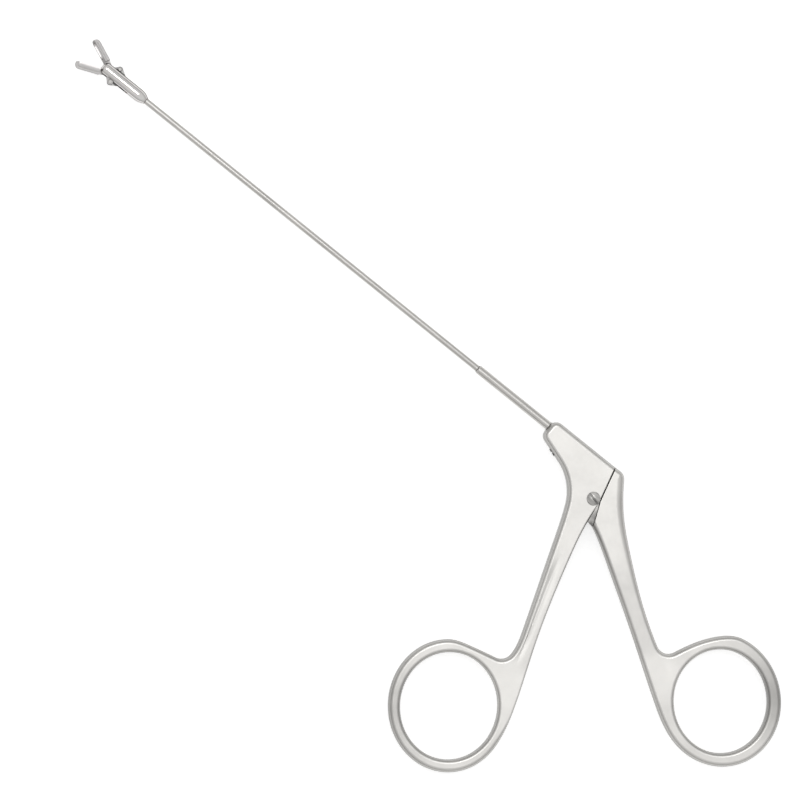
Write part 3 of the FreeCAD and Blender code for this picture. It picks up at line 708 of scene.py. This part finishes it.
# Points of the hollow inside the given loop, each with its depth.
def hollowPoints(hollow, loop):
    start, end = np.array(hollow["start"]), np.array(hollow["end"])
    length = np.linalg.norm(end - start)
    way = (end - start) / length
    left = np.array([-way[1], way[0]])
    rim = np.array([tuple(corner) for corner in loop])
    found = []
    for along in np.arange(-hollow["fade"], length + hollow["fade"], hollow["step"]):
        strength = 1 - eased(np.clip(max(-along, along - length) / hollow["fade"], 0, 1))
        for across in hollow["rows"]:
            place = start + way * along + left * across
            width = hollow["left"] if across > 0 else hollow["right"]
            near = max(0, 1 - abs(across) / width)
            depth = hollow["depth"] * strength * near ** hollow["creaseSharpness"]
            toRim = np.linalg.norm(rim - place, axis=1).min()
            if toRim > hollow["margin"] and isInside(Vector(place), loop):
                found.append((place, depth))
    return found


# The wall of one outline, rounded towards both sides. Gives its lowest and its highest ring.
def addWall(mesh, points, edges, taper):
    steps = shellShape["arcSteps"]
    levels = []
    for side in (-1, 1):
        arc = []
        for k in range(steps + 1):
            turn = math.pi / 2 * k / steps
            flat = inset(points, edges, 1 - math.cos(turn), shellShape["skin"])
            drop = edges[:, :, 1].max(axis=1) * (1 - math.sin(turn))
            arc.append((flat, drop))
        flat = inset(points, edges, 1.0, shellShape["skin"] + shellShape["flatBand"])
        arc.append((flat, np.zeros(len(flat))))
        if side < 0:
            arc.reverse()
        levels += [(side, flat, drop) for flat, drop in arc]
    rings = []
    for side, flat, drop in levels:
        height = halfThickness(flat, taper) - shellShape["skinTop"] - drop
        z = shellShape["middle"] + side * height
        rings.append([mesh.verts.new((x * mm, y * mm, h * mm)) for (x, y), h in zip(flat, z)])
    for lower, upper in zip(rings, rings[1:]):
        joinRings(mesh, lower, upper)
    return rings[0], rings[-1]


def joinRings(mesh, lower, upper):
    for i in range(len(lower)):
        j = (i + 1) % len(lower)
        mesh.faces.new((lower[i], lower[j], upper[j], upper[i]))


# A flat side between the outer loop and the hole, in triangles, with the hollow pressed into it.
def addSide(mesh, loops, side, taper, hollow):
    corners = [vert for loop in loops for vert in loop]
    borders, first = [], 0
    for loop in loops:
        borders += [(first + i, first + (i + 1) % len(loop)) for i in range(len(loop))]
        first += len(loop)
    flat = [Vector((vert.co.x / mm, vert.co.y / mm)) for vert in corners]
    outer, hole = flat[:len(loops[0])], flat[len(loops[0]):]
    if hollow:
        for place, depth in hollowPoints(hollow, outer):
            height = halfThickness(place, taper) - shellShape["skinTop"] - depth
            z = shellShape["middle"] + side * height
            corners.append(mesh.verts.new((place[0] * mm, place[1] * mm, z * mm)))
            flat.append(Vector(place))
    insideBorders = 2                # the kind of triangles that delaunay_2d_cdt keeps
    triangles = delaunay_2d_cdt(flat, borders, [], insideBorders, shellShape["tolerance"])[2]
    for triangle in triangles:
        if not isInside(sum((flat[i] for i in triangle), Vector((0, 0))) / 3, hole):
            ordered = triangle if side > 0 else reversed(triangle)
            mesh.faces.new([corners[i] for i in ordered])


def makePlate(name, outlines, taper, hollow=None):
    mesh = bmesh.new()
    walls = [addWall(mesh, points, edges, taper) for points, edges in outlines]
    addSide(mesh, [upper for lower, upper in walls], 1, taper, hollow)
    addSide(mesh, [lower for lower, upper in walls], -1, taper, hollow)
    return finishMesh(name, mesh)


def finishMesh(name, mesh):
    data = bpy.data.meshes.new(name)
    mesh.to_mesh(data)
    mesh.free()
    piece = bpy.data.objects.new(name, data)
    bpy.context.scene.collection.objects.link(piece)
    return piece


def mergedCopy(node, name):
    mesh = bmesh.new()
    mesh.from_mesh(nodes[node].data)
    bmesh.ops.remove_doubles(mesh, verts=mesh.verts, dist=shellShape["solidWeld"] * mm)
    return finishMesh(name, mesh)


def makeBlock(name, flatCorners, low, high):
    mesh = bmesh.new()
    lower = [mesh.verts.new((x * mm, y * mm, low * mm)) for x, y in flatCorners]
    upper = [mesh.verts.new((x * mm, y * mm, high * mm)) for x, y in flatCorners]
    mesh.faces.new(reversed(lower))
    mesh.faces.new(upper)
    joinRings(mesh, lower, upper)
    return finishMesh(name, mesh)


# The piece gets the mesh that its modifiers give, and keeps no modifier.
def makePlain(piece):
    evaluated = piece.evaluated_get(bpy.context.evaluated_depsgraph_get())
    plain = bpy.data.meshes.new_from_object(evaluated)
    piece.modifiers.clear()
    old = piece.data
    piece.data = plain
    bpy.data.meshes.remove(old)
    plain.name = piece.name


def cutWith(piece, tool, operation):
    cut = piece.modifiers.new("cut", "BOOLEAN")
    cut.operation, cut.object, cut.solver = operation, tool, "EXACT"
    makePlain(piece)
    bpy.data.objects.remove(tool)


def smoothShell(piece):
    mesh = bmesh.new()
    mesh.from_mesh(piece.data)
    weld, sharp = shellShape["weld"] * mm, math.radians(shellShape["sharpEdge"])
    bmesh.ops.remove_doubles(mesh, verts=mesh.verts, dist=weld)
    bmesh.ops.dissolve_degenerate(mesh, edges=mesh.edges, dist=weld)
    for face in mesh.faces:
        face.smooth = True
    for edge in mesh.edges:
        edge.smooth = edge.is_manifold and edge.calc_face_angle() < sharp
    mesh.to_mesh(piece.data)
    mesh.free()
    weigh = piece.modifiers.new("weighNormals", "WEIGHTED_NORMAL")
    weigh.keep_sharp = True
    makePlain(piece)


def joinPieces(main, other):
    mesh = bmesh.new()
    for piece in (main, other):
        mesh.from_mesh(piece.data)
    mesh.to_mesh(main.data)
    mesh.free()
    bpy.data.objects.remove(other)


# The inside of the joint is the solid's own: the block around it, less the solid, cuts the shell.
jointBlock = {"corners": [(-25, -9), (8, -9), (8, 14), (-25, 14)], "low": -2, "high": 8}    # mm
# The rear handle's tongue is cut from its solid by a block that ends a little past the pivot.
tongueBlock = {"way": 18, "end": 2.2, "halfWidth": 20, "length": 30, "low": 1.7, "high": 3.9}

frontPiece = makePlate("frontHandleShell", [frontOutline(), holeOutline(frontShell["hole"])],
                       frontShell["taper"], frontShell["hollow"])
joint = makeBlock("jointBlock", jointBlock["corners"], jointBlock["low"], jointBlock["high"])
cutWith(joint, mergedCopy("front_handle", "frontCopy"), "DIFFERENCE")
cutWith(frontPiece, joint, "DIFFERENCE")
smoothShell(frontPiece)

rearPiece = makePlate("rearHandleShell", [rearOutline(), holeOutline(rearShell["hole"])],
                      rearShell["taper"])
smoothShell(rearPiece)
tongueWay = heading(tongueBlock["way"])
tongueEnd = tongueWay * tongueBlock["end"]
tongueSide = heading(tongueBlock["way"] + 90) * tongueBlock["halfWidth"]
behind = tongueWay * -tongueBlock["length"]
tongueCorners = [tongueEnd - tongueSide, tongueEnd + tongueSide,
                 tongueEnd + tongueSide + behind, tongueEnd - tongueSide + behind]
tongue = mergedCopy("rear_handle", "tongue")
cutWith(tongue, makeBlock("tongueBlock", tongueCorners, tongueBlock["low"], tongueBlock["high"]),
        "INTERSECT")
smoothShell(tongue)
joinPieces(rearPiece, tongue)
smoothShell(rearPiece)

for piece, node, body in ((frontPiece, "front_handle", "front_body"),
                          (rearPiece, "rear_handle", "rear_body")):
    piece.data.materials.clear()
    piece.data.materials.append(steels["handle_steel"])
    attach(piece, body)
    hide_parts(node)
    print(piece.name, "has", len(piece.data.polygons), "faces")


# Thin rings of braze metal where the sleeve and the tube go into the next piece.
brazing = {
    "axis": (6.95, 2.8),             # mm, y and z of the shaft
    # x along the shaft, radius of the ring and of its bead, in mm
    "rings": [(-19.12, 1.07, 0.06), (-41.03, 0.80, 0.09), (-143.20, 0.79, 0.10)],
    "ringSteps": 40, "beadSteps": 10,
    "waver": 0.03, "waverScale": 900.0, "seed": 4.0,
}
brazeFinish = dict(
    satin, tint=(1.0, 0.95, 0.88), levels=[(0.0, 0.26), (1.0, 0.12)], roughness=0.45)


def makeBrazeTree():
    tree = bpy.data.node_groups.new("brazeRings", "GeometryNodeTree")
    for name, kind in (("Geometry", "NodeSocketGeometry"), ("Ring Steps", "NodeSocketInt"),
                       ("Bead Steps", "NodeSocketInt"), ("Waver", "NodeSocketFloat"),
                       ("Seed", "NodeSocketFloat"), ("Metal", "NodeSocketMaterial")):
        tree.interface.new_socket(name, in_out="INPUT", socket_type=kind)
    tree.interface.new_socket("Geometry", in_out="OUTPUT", socket_type="NodeSocketGeometry")
    given, result = tree.nodes.new("NodeGroupInput"), tree.nodes.new("NodeGroupOutput")
    ring = addNode(tree, "GeometryNodeCurvePrimitiveCircle", values=[("Radius", 1.0)],
                   links=[("Resolution", given.outputs["Ring Steps"])])
    radius = addNode(tree, "GeometryNodeInputNamedAttribute", [("data_type", "FLOAT")],
                     [("Name", "ringRadius")])
    bead = addNode(tree, "GeometryNodeInputNamedAttribute", [("data_type", "FLOAT")],
                   [("Name", "bead")])
    placed = addNode(tree, "GeometryNodeInstanceOnPoints",
                     values=[("Rotation", (0, math.pi / 2, 0))],
                     links=[("Points", given.outputs["Geometry"]),
                            ("Instance", ring.outputs["Curve"]),
                            ("Scale", radius.outputs["Attribute"])])
    real = addNode(tree, "GeometryNodeRealizeInstances",
                   links=[("Geometry", placed.outputs["Instances"])])
    place = addNode(tree, "GeometryNodeInputPosition")
    noise = addNode(tree, "ShaderNodeTexNoise", [("noise_dimensions", "4D")],
                    [("Scale", brazing["waverScale"])],
                    [("Vector", place.outputs[0]), ("W", given.outputs["Seed"])])
    swing = addNode(tree, "ShaderNodeMath", [("operation", "SUBTRACT")], [(1, 0.5)],
                    [(0, noise.outputs["Fac"])])
    shift = addNode(tree, "ShaderNodeMath", [("operation", "MULTIPLY")],
                    links=[(0, swing.outputs[0]), (1, given.outputs["Waver"])])
    offset = addNode(tree, "ShaderNodeCombineXYZ", links=[("X", shift.outputs[0])])
    waved = addNode(tree, "GeometryNodeSetPosition",
                    links=[("Geometry", real.outputs["Geometry"]), ("Offset", offset.outputs[0])])
    profile = addNode(tree, "GeometryNodeCurvePrimitiveCircle", values=[("Radius", 1.0)],
                      links=[("Resolution", given.outputs["Bead Steps"])])
    body = addNode(tree, "GeometryNodeCurveToMesh",
                   links=[("Curve", waved.outputs["Geometry"]),
                          ("Profile Curve", profile.outputs["Curve"]),
                          ("Scale", bead.outputs["Attribute"])])
    whole = addNode(tree, "GeometryNodeRealizeInstances",
                    links=[("Geometry", body.outputs["Mesh"])])
    metal = addNode(tree, "GeometryNodeSetMaterial",
                    links=[("Geometry", whole.outputs["Geometry"]),
                           ("Material", given.outputs["Metal"])])
    tree.links.new(metal.outputs["Geometry"], result.inputs["Geometry"])
    return tree


def makeBrazeRings():
    middles = bpy.data.meshes.new("brazeMiddles")
    y, z = brazing["axis"]
    middles.from_pydata([(x * mm, y * mm, z * mm) for x, radius, bead in brazing["rings"]], [], [])
    for name, column in (("ringRadius", 1), ("bead", 2)):
        values = middles.attributes.new(name, "FLOAT", "POINT")
        for i, ring in enumerate(brazing["rings"]):
            values.data[i].value = ring[column] * mm
    rings = bpy.data.objects.new("brazeRings", middles)
    bpy.context.scene.collection.objects.link(rings)
    tree = makeBrazeTree()
    maker = rings.modifiers.new("makeRings", "NODES")
    maker.node_group = tree
    inputs = [item for item in tree.interface.items_tree if item.in_out == "INPUT"]
    for name, value in (("Ring Steps", brazing["ringSteps"]), ("Bead Steps", brazing["beadSteps"]),
                        ("Waver", brazing["waver"] * mm), ("Seed", brazing["seed"]),
                        ("Metal", makeSteel("brazeMetal", brazeFinish))):
        identifier = next(item.identifier for item in inputs if item.name == name)
        maker[identifier] = value
    makePlain(rings)
    mesh = bmesh.new()
    mesh.from_mesh(rings.data)
    bmesh.ops.recalc_face_normals(mesh, faces=mesh.faces)
    for face in mesh.faces:
        face.smooth = True
    mesh.to_mesh(rings.data)
    mesh.free()
    return rings


brazeRings = makeBrazeRings()
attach(brazeRings, "front_body")
print(brazeRings.name, "has", len(brazeRings.data.polygons), "faces")
